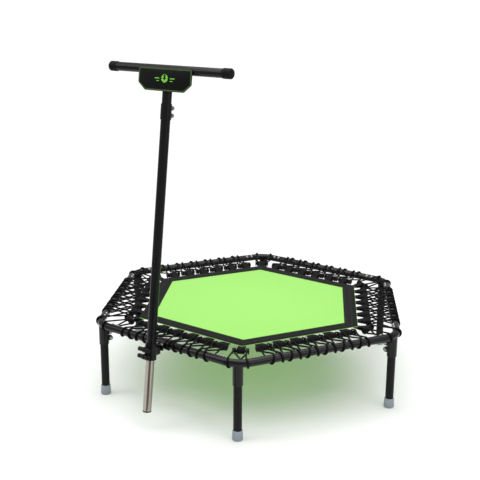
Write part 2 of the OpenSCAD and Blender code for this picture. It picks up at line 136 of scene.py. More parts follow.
HEIGHT_JOINT = next(j for j in frame["joints"] if j["name"] == "handle_height")
POLE_AXIS = Vector(HEIGHT_JOINT["axis"]).normalized()
POLE_LEAN = math.atan2(POLE_AXIS.y, POLE_AXIS.z)
POLE_MIDDLE = node_middle("inner_pole")
POLE_FOOT = POLE_MIDDLE + POLE_AXIS * (TUBE_Z - POLE_MIDDLE.z) / POLE_AXIS.z
POLE = Matrix.Translation(POLE_FOOT) @ Matrix.Rotation(-POLE_LEAN, 4, "X")
BAR_MIDDLE = (node_middle("end_cap_left") + node_middle("end_cap_right")) / 2
BAR_Z = (BAR_MIDDLE - POLE_FOOT).dot(POLE_AXIS)
CAP_LENGTH = node_size("end_cap_left").x
CAP_R = node_size("end_cap_left").z / 2
CAP_BORE_R = 16.05 * MM
SIGN_TOP = 5 * MM
SIGN_H = 80 * MM
SIGN_STRAIGHT = 54 * MM
SIGN_CUT = 32 * MM
SIGN_T = 2.5 * MM
SIGN_BACK = 17.05 * MM


def at_corner(k, r=0.0, z=0.0):
    """The place of something at corner k: +X outwards."""
    return (Matrix.Translation(MIDDLE) @ Matrix.Rotation(math.radians(60 * (k - 1)), 4, "Z")
            @ Matrix.Translation((r, 0, z)))


def at_side(k, r=0.0, u=0.0, z=0.0):
    """The place of something on side k: +X outwards, +Y along the tube."""
    return (Matrix.Translation(MIDDLE) @ Matrix.Rotation(math.radians(60 * (k - 1) + 30), 4, "Z")
            @ Matrix.Translation((r, u, z)))


def clip_u(i):
    return (i - (CLIPS - 1) / 2) * CLIP_PITCH


def clip_places():
    """The place of every strap and roller: +X outwards, +Y along the roller."""
    for k in SIDES:
        yield at_corner(k, ROLLER_CORNER_R, TUBE_Z)
        for i in range(CLIPS):
            yield at_side(k, ROLLER_SIDE_R, clip_u(i), TUBE_Z)


# ---- sizes and colours ------------------------------------------------------

def colour(name, description, default):
    return FloatVectorProperty(name=name, description=description, default=default,
                               subtype="COLOR", size=3, min=0, max=1)


def length(name, description, default):
    return FloatProperty(name=name, description=description, default=default,
                         subtype="DISTANCE", unit="LENGTH", min=0)


class TrampolineSizes(bpy.types.PropertyGroup):
    """Sizes that change the look and leave the frame alone."""
    rope_d: length("Rope diameter", "Thickness of the elastic rope", 6.5 * MM)
    stitch_length: length("Stitch length", "Length of one stitch", 4.5 * MM)
    stitch_pitch: length("Stitch pitch", "Distance from one stitch to the next", 7 * MM)
    thread_d: length("Thread diameter", "Thickness of the sewing thread", 0.9 * MM)
    mat_threads: FloatProperty(name="Mat threads", description="Threads in a metre of the mat",
                               default=520, min=50)
    strap_ribs: IntProperty(name="Strap ribs", description="Ribs across a strap", default=14, min=2)


class TrampolineColours(bpy.types.PropertyGroup):
    """Colours of the finishes, linear."""
    mat: colour("Mat", "Woven mat", (0.225, 0.485, 0.11))
    # painted glow: the colour that the mat emits, standing in for the light it lets through
    mat_painted_glow: colour("Mat light", "Light that the mat lets through", (0.46, 0.95, 0.20))
    border: colour("Border", "Sewn border", (0.0045, 0.0045, 0.0045))
    strap: colour("Strap", "Webbing", (0.0025, 0.0025, 0.0025))
    rope: colour("Rope", "Elastic rope", (0.003, 0.003, 0.003))
    frame: colour("Frame paint", "Powder coat of the frame", (0.003, 0.003, 0.003))
    legs: colour("Leg paint", "Powder coat of the legs", (0.0035, 0.0035, 0.0035))
    hand_bar: colour("Hand bar paint", "Powder coat of the hand bar", (0.003, 0.0032, 0.0035))
    foot: colour("Foot rubber", "Rubber of the feet", (0.235, 0.275, 0.305))
    chrome: colour("Chrome", "Inner pole", (0.33, 0.3, 0.265))
    zinc: colour("Zinc", "Bright screws", (0.3, 0.28, 0.28))
    sign_mark: colour("Sign mark", "Plain mark on the sign plate", (0.16, 0.55, 0.04))
    sign_line: colour("Sign line", "Outline of the sign plate", (0.022, 0.062, 0.008))


# ---- node trees -------------------------------------------------------------

class Graph:
    """A node tree, with a short way to add a node and feed its sockets."""

    def __init__(self, tree):
        self.tree = tree

    def feed(self, node, sockets):
        """Link or set the input sockets named."""
        for name, value in sockets.items():
            if isinstance(value, bpy.types.NodeSocket):
                self.tree.links.new(value, node.inputs[name])
            else:
                node.inputs[name].default_value = value

    def add(self, kind, sockets=None, **settings):
        node = self.tree.nodes.new(kind)
        for name, value in settings.items():
            setattr(node, name, value)
        self.feed(node, sockets or {})
        return node

    def math(self, operation, first, second=0.0):
        return self.add("ShaderNodeMath", {0: first, 1: second}, operation=operation).outputs[0]

    def spread(self, value, low, high):
        """value, from 0 to 1, spread between low and high."""
        node = self.add("ShaderNodeMapRange", {"Value": value, "To Min": low, "To Max": high})
        return node.outputs[0]

    def group(self, tree, sockets):
        return self.add("ShaderNodeGroup", sockets, node_tree=tree)


def new_group(name, inputs, outputs):
    """A shader node group and its graph, with its input and output nodes."""
    tree = bpy.data.node_groups.new(name, "ShaderNodeTree")
    for socket, kind in inputs.items():
        tree.interface.new_socket(name=socket, in_out="INPUT", socket_type=kind)
    for socket in outputs:
        tree.interface.new_socket(name=socket, in_out="OUTPUT", socket_type="NodeSocketFloat")
    graph = Graph(tree)
    return tree, graph, graph.add("NodeGroupInput"), graph.add("NodeGroupOutput")


def grain_group():
    """Fine grain and slow blotches: moulded plastic, rubber, powder coat."""
    tree, g, start, end = new_group(
        "surface grain", {"Vector": "NodeSocketVector", "Scale": "NodeSocketFloat"},
        ["Height", "Blotch"])
    fine = g.add("ShaderNodeTexNoise", {"Vector": start.outputs["Vector"],
                                        "Scale": start.outputs["Scale"], "Detail": 3.0})
    slow_scale = g.math("MULTIPLY", start.outputs["Scale"], 0.02)
    slow = g.add("ShaderNodeTexNoise", {"Vector": start.outputs["Vector"],
                                        "Scale": slow_scale, "Detail": 4.0})
    g.tree.links.new(fine.outputs[0], end.inputs["Height"])
    g.tree.links.new(slow.outputs[0], end.inputs["Blotch"])
    return tree


def weave_group():
    """A plain weave of two sets of threads, seen from above."""
    tree, g, start, end = new_group(
        "plain weave", {"Vector": "NodeSocketVector", "Threads": "NodeSocketFloat"},
        ["Height", "Shade"])
    scaled = g.add("ShaderNodeVectorMath",
                   {0: start.outputs["Vector"], 3: start.outputs["Threads"]}, operation="SCALE")
    parts = g.add("ShaderNodeSeparateXYZ", {0: scaled.outputs[0]})
    waves = []
    cells = []
    for axis in ("X", "Y"):
        turn = g.math("MULTIPLY", parts.outputs[axis], math.pi)
        waves.append(g.math("ABSOLUTE", g.math("SINE", turn)))
        cells.append(g.math("FLOOR", parts.outputs[axis]))
    even = g.math("PINGPONG", g.math("ADD", cells[0], cells[1]), 1.0)
    over = g.math("MULTIPLY", waves[0], even)
    under = g.math("MULTIPLY", waves[1], g.math("SUBTRACT", 1.0, even))
    height = g.math("ADD", over, under)
    slubs = g.add("ShaderNodeTexNoise",
                  {"Vector": scaled.outputs[0], "Scale": 0.35, "Detail": 2.0})
    g.tree.links.new(height, end.inputs["Height"])
    g.tree.links.new(slubs.outputs[0], end.inputs["Shade"])
    return tree


def rib_group():
    """Ribs across a woven strap or a braided rope: U runs across and V along."""
    tree, g, start, end = new_group(
        "braided ribs", {"Vector": "NodeSocketVector", "Ribs": "NodeSocketFloat",
                         "Slant": "NodeSocketFloat"}, ["Height", "Shade"])
    parts = g.add("ShaderNodeSeparateXYZ", {0: start.outputs["Vector"]})
    across = g.math("MULTIPLY", parts.outputs["X"], start.outputs["Ribs"])
    along = g.math("MULTIPLY", parts.outputs["Y"], start.outputs["Slant"])
    rows = []
    for operation in ("ADD", "SUBTRACT"):
        turn = g.math("MULTIPLY", g.math(operation, across, along), math.pi)
        rows.append(g.math("ABSOLUTE", g.math("SINE", turn)))
    height = g.math("MAXIMUM", rows[0], rows[1])
    noise = g.add("ShaderNodeTexNoise", {"Vector": start.outputs["Vector"], "Scale": 3.0})
    g.tree.links.new(height, end.inputs["Height"])
    g.tree.links.new(noise.outputs[0], end.inputs["Shade"])
    return tree


GROUPS = {}


def group_of(name):
    makers = {"grain": grain_group, "weave": weave_group, "ribs": rib_group}
    if name not in GROUPS:
        GROUPS[name] = makers[name]()
    return GROUPS[name]


def new_material(name):
    """A material's graph with its Principled shader."""
    material = bpy.data.materials.new(name)
    material.use_nodes = True
    graph = Graph(material.node_tree)
    return material, graph, material.node_tree.nodes["Principled BSDF"]


def tinted(graph, value, base, light):
    """base colour that turns to a lighter one as value goes from 0 to 1."""
    mix = graph.add("ShaderNodeMix", {"Factor": value}, data_type="RGBA")
    mix.inputs["A"].default_value = (*base, 1)
    mix.inputs["B"].default_value = (*(min(1, c * light) for c in base), 1)
    return next(s for s in mix.outputs if s.type == "RGBA")


def bumped(graph, height, distance):
    node = graph.add("ShaderNodeBump", {"Height": height, "Distance": distance})
    return node.outputs["Normal"]


def coated_material(name, base, rough, scale, bump, metallic=0.0, light=1.6, specular=0.5):
    """Powder coat, plastic, rubber or bare metal: grain, slow blotches and uneven gloss."""
    material, graph, shader = new_material(name)
    place = graph.add("ShaderNodeTexCoord").outputs["Object"]
    grain = graph.group(group_of("grain"), {"Vector": place, "Scale": float(scale)})
    graph.feed(shader, {
        "Base Color": tinted(graph, grain.outputs["Blotch"], base, light),
        "Roughness": graph.spread(grain.outputs["Blotch"], *rough),
        "Metallic": metallic,
        "Specular IOR Level": specular,
        "Normal": bumped(graph, grain.outputs["Height"], bump)})
    return material


CLOTH_SPECULAR = 0.12


def cloth_material(name, base, threads, rough, bump, glow=None, strength=0.0):
    """Flat woven cloth on Object coordinates; glow is a painted glow, an emission that stands in for the light a
    thin mat lets through.
    """
    material, graph, shader = new_material(name)
    place = graph.add("ShaderNodeTexCoord").outputs["Object"]
    weave = graph.group(group_of("weave"), {"Vector": place, "Threads": float(threads)})
    graph.feed(shader, {
        "Base Color": tinted(graph, weave.outputs["Shade"], base, 1.12),
        "Roughness": graph.spread(weave.outputs["Shade"], *rough),
        "Specular IOR Level": CLOTH_SPECULAR,
        "Normal": bumped(graph, weave.outputs["Height"], bump)})
    # painted glow: the cloth emits the glow colour, a little brighter where the threads rise
    if glow:
        graph.feed(shader, {"Emission Color": tinted(graph, weave.outputs["Height"], glow, 1.05),
                            "Emission Strength": strength})
    return material


def ribbed_material(name, base, ribs, slant, rough, bump):
    """Webbing or braided rope on the piece's own UV map, with painted shade: lighter on the rib crests, darker in
    the grooves between them.
    """
    material, graph, shader = new_material(name)
    place = graph.add("ShaderNodeUVMap", uv_map="UVMap").outputs["UV"]
    rib = graph.group(group_of("ribs"),
                      {"Vector": place, "Ribs": float(ribs), "Slant": float(slant)})
    # painted shade: the colour follows the rib height, lighter on the crests and darker in the grooves
    graph.feed(shader, {
        "Base Color": tinted(graph, rib.outputs["Height"], base, 1.9),
        "Roughness": graph.spread(rib.outputs["Shade"], *rough),
        "Specular IOR Level": CLOTH_SPECULAR,
        "Normal": bumped(graph, rib.outputs["Height"], bump)})
    return material


FINISHES = {}


def finish(name):
    """The material of that name, made once."""
    if name in FINISHES:
        return FINISHES[name]
    c = bpy.context.scene.trampoline_colours
    sizes = bpy.context.scene.trampoline_sizes
    coats = {
        "frame_paint": dict(base=c.frame, rough=(0.14, 0.26), scale=700, bump=3e-5,
                            specular=0.26),
        "leg_paint": dict(base=c.legs, rough=(0.28, 0.42), scale=900, bump=4e-5, specular=0.16),
        "bar_paint": dict(base=c.hand_bar, rough=(0.2, 0.34), scale=1400, bump=5e-5, specular=0.2),
        "foot_rubber": dict(base=c.foot, rough=(0.55, 0.75), scale=1600, bump=8e-5, light=1.25),
        "zinc_steel": dict(base=c.zinc, rough=(0.2, 0.38), scale=1500, bump=3e-5, metallic=1.0,
                           light=1.2),
        "pole_chrome": dict(base=c.chrome, rough=(0.06, 0.14), scale=500, bump=1e-5, metallic=1.0,
                            light=1.1),
        "black_steel": dict(base=c.hand_bar, rough=(0.3, 0.5), scale=1500, bump=4e-5,
                            specular=0.2),
        "black_plastic": dict(base=c.hand_bar, rough=(0.4, 0.6), scale=1800, bump=6e-5,
                              specular=0.2),
        "roller_plastic": dict(base=c.hand_bar, rough=(0.35, 0.5), scale=1600, bump=5e-5,
                               specular=0.12),
        "cap_rubber": dict(base=c.hand_bar, rough=(0.5, 0.7), scale=1700, bump=8e-5,
                           specular=0.15),
        "sign_sheet": dict(base=c.hand_bar, rough=(0.25, 0.4), scale=1200, bump=2e-5,
                           specular=0.12),
        "sign_line": dict(base=c.sign_line, rough=(0.3, 0.45), scale=1200, bump=2e-5),
        "sign_mark": dict(base=c.sign_mark, rough=(0.35, 0.5), scale=1200, bump=2e-5, light=1.2),
        "thread": dict(base=(0.03, 0.03, 0.03), rough=(0.6, 0.8), scale=3000, bump=8e-5),
    }
    cloths = {
        # the mat gets a painted glow: it emits light of its own at strength 0.2
        "mat_fabric": dict(base=c.mat, threads=sizes.mat_threads, rough=(0.55, 0.75),
                           bump=2.5e-4, glow=c.mat_painted_glow, strength=0.2),
        "border_fabric": dict(base=c.border, threads=640, rough=(0.5, 0.7), bump=3e-4),
    }
    ribbed = {
        "strap_webbing": dict(base=c.strap, ribs=sizes.strap_ribs, slant=0.7, rough=(0.6, 0.85),
                              bump=5e-4),
        "elastic_rope": dict(base=c.rope, ribs=5, slant=1.0, rough=(0.5, 0.75), bump=6e-4),
    }
    for make, table in ((coated_material, coats), (cloth_material, cloths),
                        (ribbed_material, ribbed)):
        if name in table:
            FINISHES[name] = make(name, **table[name])
    return FINISHES[name]


# ---- mesh helpers -----------------------------------------------------------

SHARP_ANGLE = math.radians(38)


def shaded(bm):
    """Smooth faces with hard edges where the shape turns sharply."""
    for face in bm.faces:
        face.smooth = True
    for edge in bm.edges:
        if len(edge.link_faces) == 2:
            edge.smooth = edge.calc_face_angle(0) < SHARP_ANGLE


def plain_mesh(bm, name):
    """A mesh from bm, which is freed."""
    mesh = bpy.data.meshes.new(name)
    bm.to_mesh(mesh)
    bm.free()
    return mesh


def mesh_of(bm, name):
    """A shaded mesh from bm, which is freed."""
    shaded(bm)
    return plain_mesh(bm, name)


def placed(name, data):
    """A new object in the scene, at the origin."""
    made = bpy.data.objects.new(name, data)
    bpy.context.scene.collection.objects.link(made)
    return made


def piece(name, mesh, finishes, body, replaces=()):
    """A finished object at the origin, on its body, standing for the CAD nodes named."""
    for one in finishes:
        mesh.materials.append(finish(one))
    made = placed(name, mesh)
    if body:
        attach(made, body)
    if replaces:
        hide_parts(*replaces)
    return made


def stamp(bm, shape, place):
    """Add a copy of the mesh shape to bm, moved by the matrix place."""
    copy = shape.copy()
    copy.transform(place)
    bm.from_mesh(copy)
    bpy.data.meshes.remove(copy)


def stamped(name, shape, places):
    """One mesh of many copies of shape."""
    bm = bmesh.new()
    for place in places:
        stamp(bm, shape, place)
    return plain_mesh(bm, name)


def eased(bm, width, segments=2, above=30):
    """Bevel the edges that turn more than above degrees."""
    sharp = [e for e in bm.edges
             if len(e.link_faces) == 2 and e.calc_face_angle(0) > math.radians(above)]
    bmesh.ops.bevel(bm, geom=sharp, offset=width, segments=segments, profile=0.5,
                    affect="EDGES", material=-1, clamp_overlap=True)


def turned(name, outline, steps=32, ease=0.0, closed=False):
    """A mesh spun about +Z from an outline of (radius, height) points."""
    bm = bmesh.new()
    verts = [bm.verts.new((r, 0, z)) for r, z in outline]
    pairs = list(zip(verts, verts[1:])) + ([(verts[-1], verts[0])] if closed else [])
    edges = [bm.edges.new(pair) for pair in pairs]
    bmesh.ops.spin(bm, geom=verts + edges, cent=(0, 0, 0), axis=(0, 0, 1), angle=math.tau,
                   steps=steps, use_merge=True)
    bmesh.ops.remove_doubles(bm, verts=bm.verts, dist=0.00001)
    bmesh.ops.recalc_face_normals(bm, faces=bm.faces)
    if ease:
        eased(bm, ease)
    return mesh_of(bm, name)


def hexagon(radius, z):
    """Six corners in order, the first one on +X."""
    turns = [math.radians(60 * i) for i in range(6)]
    return [Vector((radius * math.cos(a), radius * math.sin(a), z)) for a in turns]


def closed_pairs(points):
    """Each point with the next one, all the way round."""
    return zip(points, points[1:] + points[:1])


def thicken(bm, faces, move):
    """Make flat faces into a closed solid by extruding them along move."""
    raised = bmesh.ops.extrude_face_region(bm, geom=faces)["geom"]
    bmesh.ops.translate(bm, verts=[v for v in raised if isinstance(v, bmesh.types.BMVert)],
                        vec=move)
    bmesh.ops.recalc_face_normals(bm, faces=bm.faces)


# ---- mat and border ---------------------------------------------------------

def mat_mesh():
    bm = bmesh.new()
    face = bm.faces.new([bm.verts.new(MIDDLE + v) for v in hexagon(MAT_R, TUBE_Z - MAT_T / 2)])
    thicken(bm, [face], (0, 0, MAT_T))
    eased(bm, MAT_T * 0.35)
    return mesh_of(bm, "mat")


def border_mesh(inner_r, outer_r):
    """The flat strip that lies on the mat all round."""
    low = TUBE_Z + MAT_T / 2
    bm = bmesh.new()
    rings = []
    for radius in (outer_r, inner_r):
        ring = [bm.verts.new(MIDDLE + v) for v in hexagon(radius, low)]
        rings.append([bm.edges.new(pair) for pair in closed_pairs(ring)])
    bmesh.ops.bridge_loops(bm, edges=rings[0] + rings[1])
    thicken(bm, list(bm.faces), (0, 0, BORDER_T))
    eased(bm, BORDER_T * 0.4)
    return mesh_of(bm, "border")


def stitch_shape():
    """One stitch: a short thread that dips at both ends, along +X."""
    sizes = bpy.context.scene.trampoline_sizes
    half, radius = sizes.stitch_length / 2, sizes.thread_d / 2
    bm = bmesh.new()
    bmesh.ops.create_uvsphere(bm, u_segments=6, v_segments=5, radius=1,
                              matrix=Matrix.Rotation(math.radians(90), 4, "Y"))
    bmesh.ops.scale(bm, vec=(half, radius, radius * 0.8), verts=bm.verts)
    return mesh_of(bm, "stitch")


def seam_places(start, end):
    """Places of the stitches of a straight seam from start to end."""
    pitch = bpy.context.scene.trampoline_sizes.stitch_pitch
    run = end - start
    count = max(1, round(run.length / pitch))
    turn = Matrix.Rotation(math.atan2(run.y, run.x), 4, "Z")
    for i in range(count):
        yield Matrix.Translation(start + run * (i + 0.5) / count) @ turn


def border_seams(inner_r, outer_r):
    """Double seams along both edges of the border, and a mitre seam at each corner."""
    top = TUBE_Z + MAT_T / 2 + BORDER_T
    mitre_gap = 6 * MM
    rows = (inner_r + 5 * MM, inner_r + 10 * MM, outer_r - 22 * MM, outer_r - 27 * MM)
    for radius in rows:
        points = [MIDDLE + v for v in hexagon(radius, top)]
        for a, b in closed_pairs(points):
            yield from seam_places(a, b)
    for inner, outer in zip(hexagon(rows[1] + mitre_gap, top), hexagon(rows[3] - mitre_gap, top)):
        yield from seam_places(MIDDLE + inner, MIDDLE + outer)


class OBJECT_OT_trampoline_mat(bpy.types.Operator):
    """Make the woven mat, its sewn border and the border's seams."""
    bl_idname = "object.trampoline_mat"
    bl_label = "Mat and border"

    def execute(self, context):
        mat = piece("mat_sheet", mat_mesh(), ["mat_fabric"], "mat", ["jump_mat"])
        inner_r, outer_r = BORDER_INNER_R, MAT_R - BORDER_EDGE
        border = piece("border_sheet", border_mesh(inner_r, outer_r), ["border_fabric"],
                       "mat", ["mat_border"])
        seams = stamped("seams", stitch_shape(), border_seams(inner_r, outer_r))
        piece("border_seams", seams, ["thread"], "mat")
        return {"FINISHED"}


# ---- straps and rollers -----------------------------------------------------

def strap_path():
    """Points (x, z) of a strap's middle line: from under the mat, round the roller and back."""
    top = -MAT_T / 2 - STRAP_T / 2
    low = top - STRAP_T
    radius = DRUM_R + SNUG + STRAP_T / 2
    reach = math.acos(radius / CLIP_OUT)
    first = math.pi + math.atan(-top / CLIP_OUT) - reach
    last = -math.pi + math.atan(-low / CLIP_OUT) + reach
    bend = [(radius * math.cos(a), radius * math.sin(a))
            for a in (first + (last - first) * i / 16 for i in range(17))]
    lap = (-CLIP_OUT - STRAP_LAP, -CLIP_OUT - STRAP_LAP / 2, -CLIP_OUT)
    return [(x, top) for x in lap] + bend + [(x, low) for x in reversed(lap)]


def strap_mesh():
    """A folded strap with its UV map: U across, V along, both in strap widths."""
    across = 6
    path = strap_path()
    bm = bmesh.new()
    line = [bm.verts.new((x, -STRAP_W / 2, z)) for x, z in path]
    edges = [bm.edges.new(pair) for pair in zip(line, line[1:])]
    along, travelled = {}, 0.0
    for i, vert in enumerate(line):
        if i:
            travelled += (vert.co - line[i - 1].co).length
        along[(round(vert.co.x, 6), round(vert.co.z, 6))] = travelled / STRAP_W
    for _ in range(across):
        made = bmesh.ops.extrude_edge_only(bm, edges=edges)["geom"]
        edges = [e for e in made if isinstance(e, bmesh.types.BMEdge)]
        bmesh.ops.translate(bm, verts=[v for v in made if isinstance(v, bmesh.types.BMVert)],
                            vec=(0, STRAP_W / across, 0))
    uv = bm.loops.layers.uv.new("UVMap")
    for face in bm.faces:
        for corner in face.loops:
            x, y, z = corner.vert.co
            corner[uv].uv = ((y + STRAP_W / 2) / STRAP_W, along[(round(x, 6), round(z, 6))])
    bmesh.ops.solidify(bm, geom=list(bm.faces), thickness=STRAP_T)
    bmesh.ops.recalc_face_normals(bm, faces=bm.faces)
    return mesh_of(bm, "strap")


def strap_seams():
    """A sewn box on the lower ply of a strap, where it lies under the mat."""
    x0, x1 = -CLIP_OUT - STRAP_LAP + 2.5 * MM, -CLIP_OUT - 1 * MM
    y = STRAP_W / 2 - 3.5 * MM
    z = -MAT_T / 2 - STRAP_T * 2.05
    corners = [Vector((x0, -y, z)), Vector((x1, -y, z)), Vector((x1, y, z)), Vector((x0, y, z))]
    for a, b in closed_pairs(corners):
        yield from seam_places(a, b)
    yield from seam_places(corners[0], corners[2])
    yield from seam_places(corners[1], corners[3])


def roller_mesh():
    """A roller along +Y: a drum for the strap, a groove for the rope on each side of it, and two
    flanges with a recessed face."""
    drum_end, end = STRAP_W / 2 - 0.4 * MM, CORE_HALF + FLANGE_T
    fillet, rim, recess = 1 * MM, 2.4 * MM, 0.8 * MM
    half = [(DRUM_R, 0), (DRUM_R, drum_end), (CORE_R, drum_end), (CORE_R, CORE_HALF - fillet),
            (CORE_R + fillet, CORE_HALF), (FLANGE_R, CORE_HALF), (FLANGE_R, end),
            (FLANGE_R - rim, end), (FLANGE_R - rim - 0.6 * MM, end - recess),
            (ROLLER_BORE_R + 1.6 * MM, end - recess), (ROLLER_BORE_R + 1.2 * MM, end),
            (ROLLER_BORE_R, end)]
    outline = [(r, -z) for r, z in reversed(half)][:-1] + half
    mesh = turned("roller", outline, steps=28, ease=0.45 * MM, closed=True)
    mesh.transform(Matrix.Rotation(math.radians(90), 4, "X"))
    return mesh


class OBJECT_OT_trampoline_clips(bpy.types.Operator):
    """Make the folded straps, their seams and the flanged rollers."""
    bl_idname = "object.trampoline_clips"
    bl_label = "Straps and rollers"

    def execute(self, context):
        places = list(clip_places())
        piece("webbing_straps", stamped("straps", strap_mesh(), places), ["strap_webbing"],
              "mat", ["clip_straps"])
        one_seam = stamped("seam", stitch_shape(), strap_seams())
        piece("strap_seams", stamped("seams", one_seam, places), ["thread"], "mat")
        piece("rollers", stamped("rollers", roller_mesh(), places), ["roller_plastic"],
              "mat", ["clip_rollers"])
        return {"FINISHED"}


# ---- elastic loops ----------------------------------------------------------

GROOVE_U = 21.75 * MM
GROOVE_SPLIT = 2 * MM
TURN_U = 18.1 * MM
TURN_U_HANDLE = 31 * MM
TURN_U_CORNER = 33 * MM
ROPE_SKEW = 6.5 * MM
ROPE_SIDES = 10
ROPE_STEP = 9 * MM
CORNER_DRIFT = 6 * MM
CORNER_DIP = Vector((39 * MM, 0, -20.5 * MM))


def arc(centre_x, radius, u0, u1, a0, a1, steps):
    """Points of a turn across the roller or tube: angles in degrees from outwards."""
    points = []
    for i in range(steps + 1):
        part = i / steps
        angle = math.radians(a0 + part * (a1 - a0))
        points.append(Vector((centre_x + radius * math.cos(angle), u0 + part * (u1 - u0),
                              radius * math.sin(angle))))
    return points


def side_half(side, turn_at, rope_r):
    """Half of a side loop: from behind the roller, over the tube, back under it."""
    core = CORE_R + rope_r + SNUG
    tube = TUBE_R + rope_r
    reach = SIDE_APOTHEM - ROLLER_SIDE_R
    cross = 90 - math.degrees(math.asin((core + tube) / reach))
    over_u, under_u = side * (GROOVE_U - GROOVE_SPLIT), side * (GROOVE_U + GROOVE_SPLIT)
    skew = side * ROPE_SKEW
    behind = DRUM_R + rope_r + 0.15 * MM
    return ([Vector((-behind, over_u, 0))]
            + arc(0, core, over_u, over_u, 215, 360 - cross, 5)
            + arc(reach, tube, turn_at - skew, turn_at + skew, 180 - cross, cross - 180, 16)
            + arc(0, core, under_u, under_u, cross, 106, 3)
            + [Vector((-behind - 2.4 * MM, under_u, 2 * rope_r)),
               Vector((-behind - 2 * rope_r - SNUG, under_u, -1 * MM))])


def side_route(turn_high, turn_low, rope_r):
    right = side_half(1, turn_high, rope_r)
    left = side_half(-1, turn_low, rope_r)
    return right + left[::-1]


def corner_route(rope_r):
    """Route of a corner loop: round the bent tube on both sides of the leg, meeting underneath."""
    core = CORE_R + rope_r + SNUG
    tube = TUBE_R + rope_r
    centre = Vector((BEND_MID_R - ROLLER_CORNER_R, 0, 0))
    around = {}
    for side in (1, -1):
        at = side * TURN_U_CORNER / BEND_R
        out = Vector((math.cos(at), math.sin(at), 0))
        along = Vector((-math.sin(at), math.cos(at), 0))
        around[side] = []
        for i in range(17):
            angle = math.radians(100 - i * 200 / 16)
            across = math.cos(angle) * out + math.sin(angle) * Vector((0, 0, 1))
            drift = (i / 16 - 0.5) * CORNER_DRIFT
            around[side].append(centre + BEND_R * out + tube * across + drift * along)
    right = arc(0, core, GROOVE_U, GROOVE_U, 270, 90, 8)
    left = arc(0, core, -GROOVE_U, -GROOVE_U, 270, 90, 8)
    return right + around[1] + left + around[-1] + [CORNER_DIP]


def stepped_route(points):
    """As points, with long straight stretches cut into steps."""
    fine = []
    for a, b in closed_pairs(points):
        pieces = max(1, round((b - a).length / ROPE_STEP))
        fine += [a + (b - a) * j / pieces for j in range(pieces)]
    return fine


def rope_mesh(points, rope_r):
    """A rope swept along a closed route, with a UV map: U around, V along in rope widths."""
    count = len(points)
    headings = [(points[(i + 1) % count] - points[i - 1]).normalized() for i in range(count)]
    side = headings[0].orthogonal().normalized()
    bm = bmesh.new()
    first = bmesh.ops.create_circle(bm, segments=ROPE_SIDES, radius=rope_r)["verts"]
    rings = [list(first)]
    frames = []
    for heading in headings:
        side = (side - heading * side.dot(heading)).normalized()
        frames.append(Matrix((side, heading.cross(side), heading)).transposed())
    edges = list({e for v in first for e in v.link_edges})
    for _ in range(count - 1):
        made = bmesh.ops.extrude_edge_only(bm, edges=edges)["geom"]
        edges = [e for e in made if isinstance(e, bmesh.types.BMEdge)]
        rings.append([])
        for vert in rings[-2]:
            twin = next(e.other_vert(vert) for e in vert.link_edges
                        if e.other_vert(vert) not in rings[-2]
                        and (len(rings) < 3 or e.other_vert(vert) not in rings[-3]))
            rings[-1].append(twin)
    flat = [v.co.copy() for v in rings[0]]
    around, along, travelled = {}, {}, 0.0
    for i, ring in enumerate(rings):
        for j, vert in enumerate(ring):
            vert.co = points[i] + frames[i] @ flat[j]
            around[vert], along[vert] = j, travelled
        travelled += (points[(i + 1) % count] - points[i]).length / (2 * rope_r)
    ends = [e for ring in (rings[0], rings[-1]) for v in ring for e in v.link_edges
            if e.other_vert(v) in ring]
    bmesh.ops.bridge_loops(bm, edges=list(set(ends)))
    uv = bm.loops.layers.uv.new("UVMap")
    for face in bm.faces:
        js = [around[c.vert] for c in face.loops]
        vs = [along[c.vert] for c in face.loops]
        wraps, closes = max(js) - min(js) > 1, max(vs) - min(vs) > travelled / 2
        for corner in face.loops:
            j, v = around[corner.vert], along[corner.vert]
            corner[uv].uv = ((j + (ROPE_SIDES if wraps and j == 0 else 0)) / ROPE_SIDES,
                             v + (travelled if closes and v < travelled / 2 else 0))
    bmesh.ops.recalc_face_normals(bm, faces=bm.faces)
    return mesh_of(bm, "rope")


def side_turns(k, i):
    """Where a loop's two turns sit on the tube; those beside the hand bar clamp sit further out."""
    high, low = TURN_U, -TURN_U
    if k == HANDLE_SIDE and i == CLIPS // 2 - 1:
        high = -TURN_U_HANDLE - clip_u(i)
    if k == HANDLE_SIDE and i == CLIPS // 2:
        low = TURN_U_HANDLE - clip_u(i)
    return high, low


class OBJECT_OT_trampoline_loops(bpy.types.Operator):
    """Make the closed elastic loops between the rollers and the frame."""
    bl_idname = "object.trampoline_loops"
    bl_label = "Elastic loops"

    def execute(self, context):
        rope_r = context.scene.trampoline_sizes.rope_d / 2
        shapes = {}
        for k in SIDES:
            bm = bmesh.new()
            for i in range(CLIPS):
                turns = side_turns(k, i)
                if turns not in shapes:
                    route = stepped_route(side_route(*turns, rope_r))
                    shapes[turns] = rope_mesh(route, rope_r)
                stamp(bm, shapes[turns], at_side(k, ROLLER_SIDE_R, clip_u(i), TUBE_Z))
            ropes = piece(f"side_ropes_{k}", plain_mesh(bm, "side_ropes"), ["elastic_rope"],
                          None, [f"elastic_loops_{k}"])
            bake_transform(ropes)
        shape = rope_mesh(stepped_route(corner_route(rope_r)), rope_r)
        for k in SIDES:
            mesh = stamped("corner_rope", shape, [at_corner(k, ROLLER_CORNER_R, TUBE_Z)])
            ropes = piece(f"corner_rope_{k}", mesh, ["elastic_rope"], None,
                          ["corner_loops"])
            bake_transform(ropes)
        return {"FINISHED"}


# ---- feet, caps and screws --------------------------------------------------

